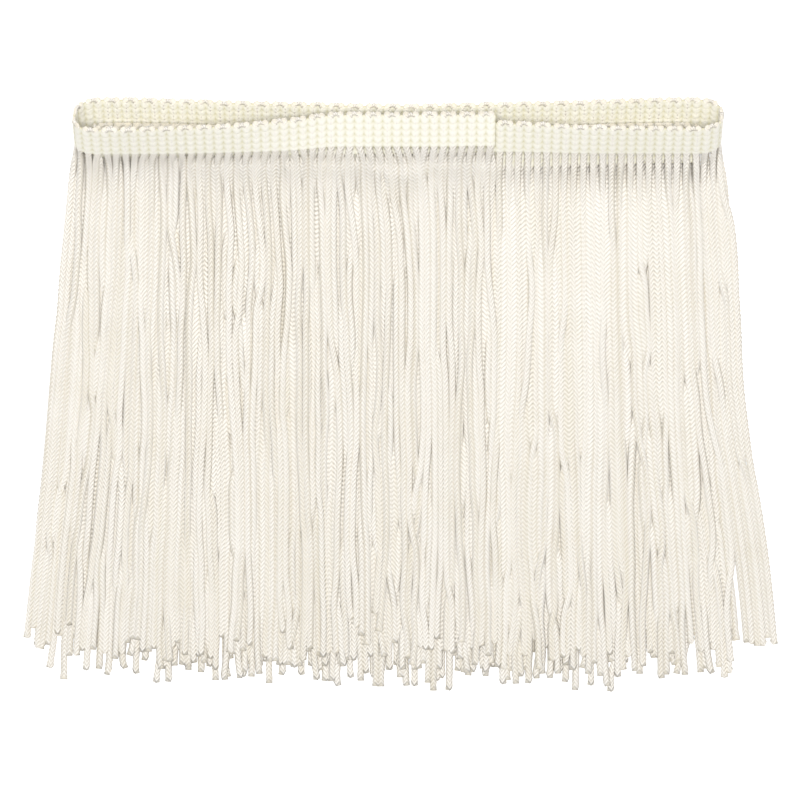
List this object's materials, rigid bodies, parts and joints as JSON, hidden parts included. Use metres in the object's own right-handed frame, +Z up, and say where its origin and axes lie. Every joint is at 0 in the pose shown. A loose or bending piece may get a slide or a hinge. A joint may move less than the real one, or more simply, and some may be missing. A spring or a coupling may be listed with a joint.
{
  "type": "chainette fringe trim",
  "caption": "Ivory chainette fringe on a narrow woven heading, wound flat into a long loop with its cords lying straight and fanning out at the ends.",
  "frame": {"origin": "middle of the underside of the whole trim as it lies, on the surface it rests on", "axes": "+X along the heading, +Y from the cord ends towards the heading, +Z up from the surface"},
  "size_m": [0.1996, 0.1616, 0.015],
  "materials": {
    "woven_heading": "ribbed ivory weave with looped picot edge, slightly yellow in its grooves",
    "chainette_cord": "knitted ivory rayon cord with a soft silky sheen and fine herringbone stitches"
  },
  "bodies": {
    "root": {"heading": "woven_heading", "fringe": "chainette_cord"}
  },
  "joints": []
}
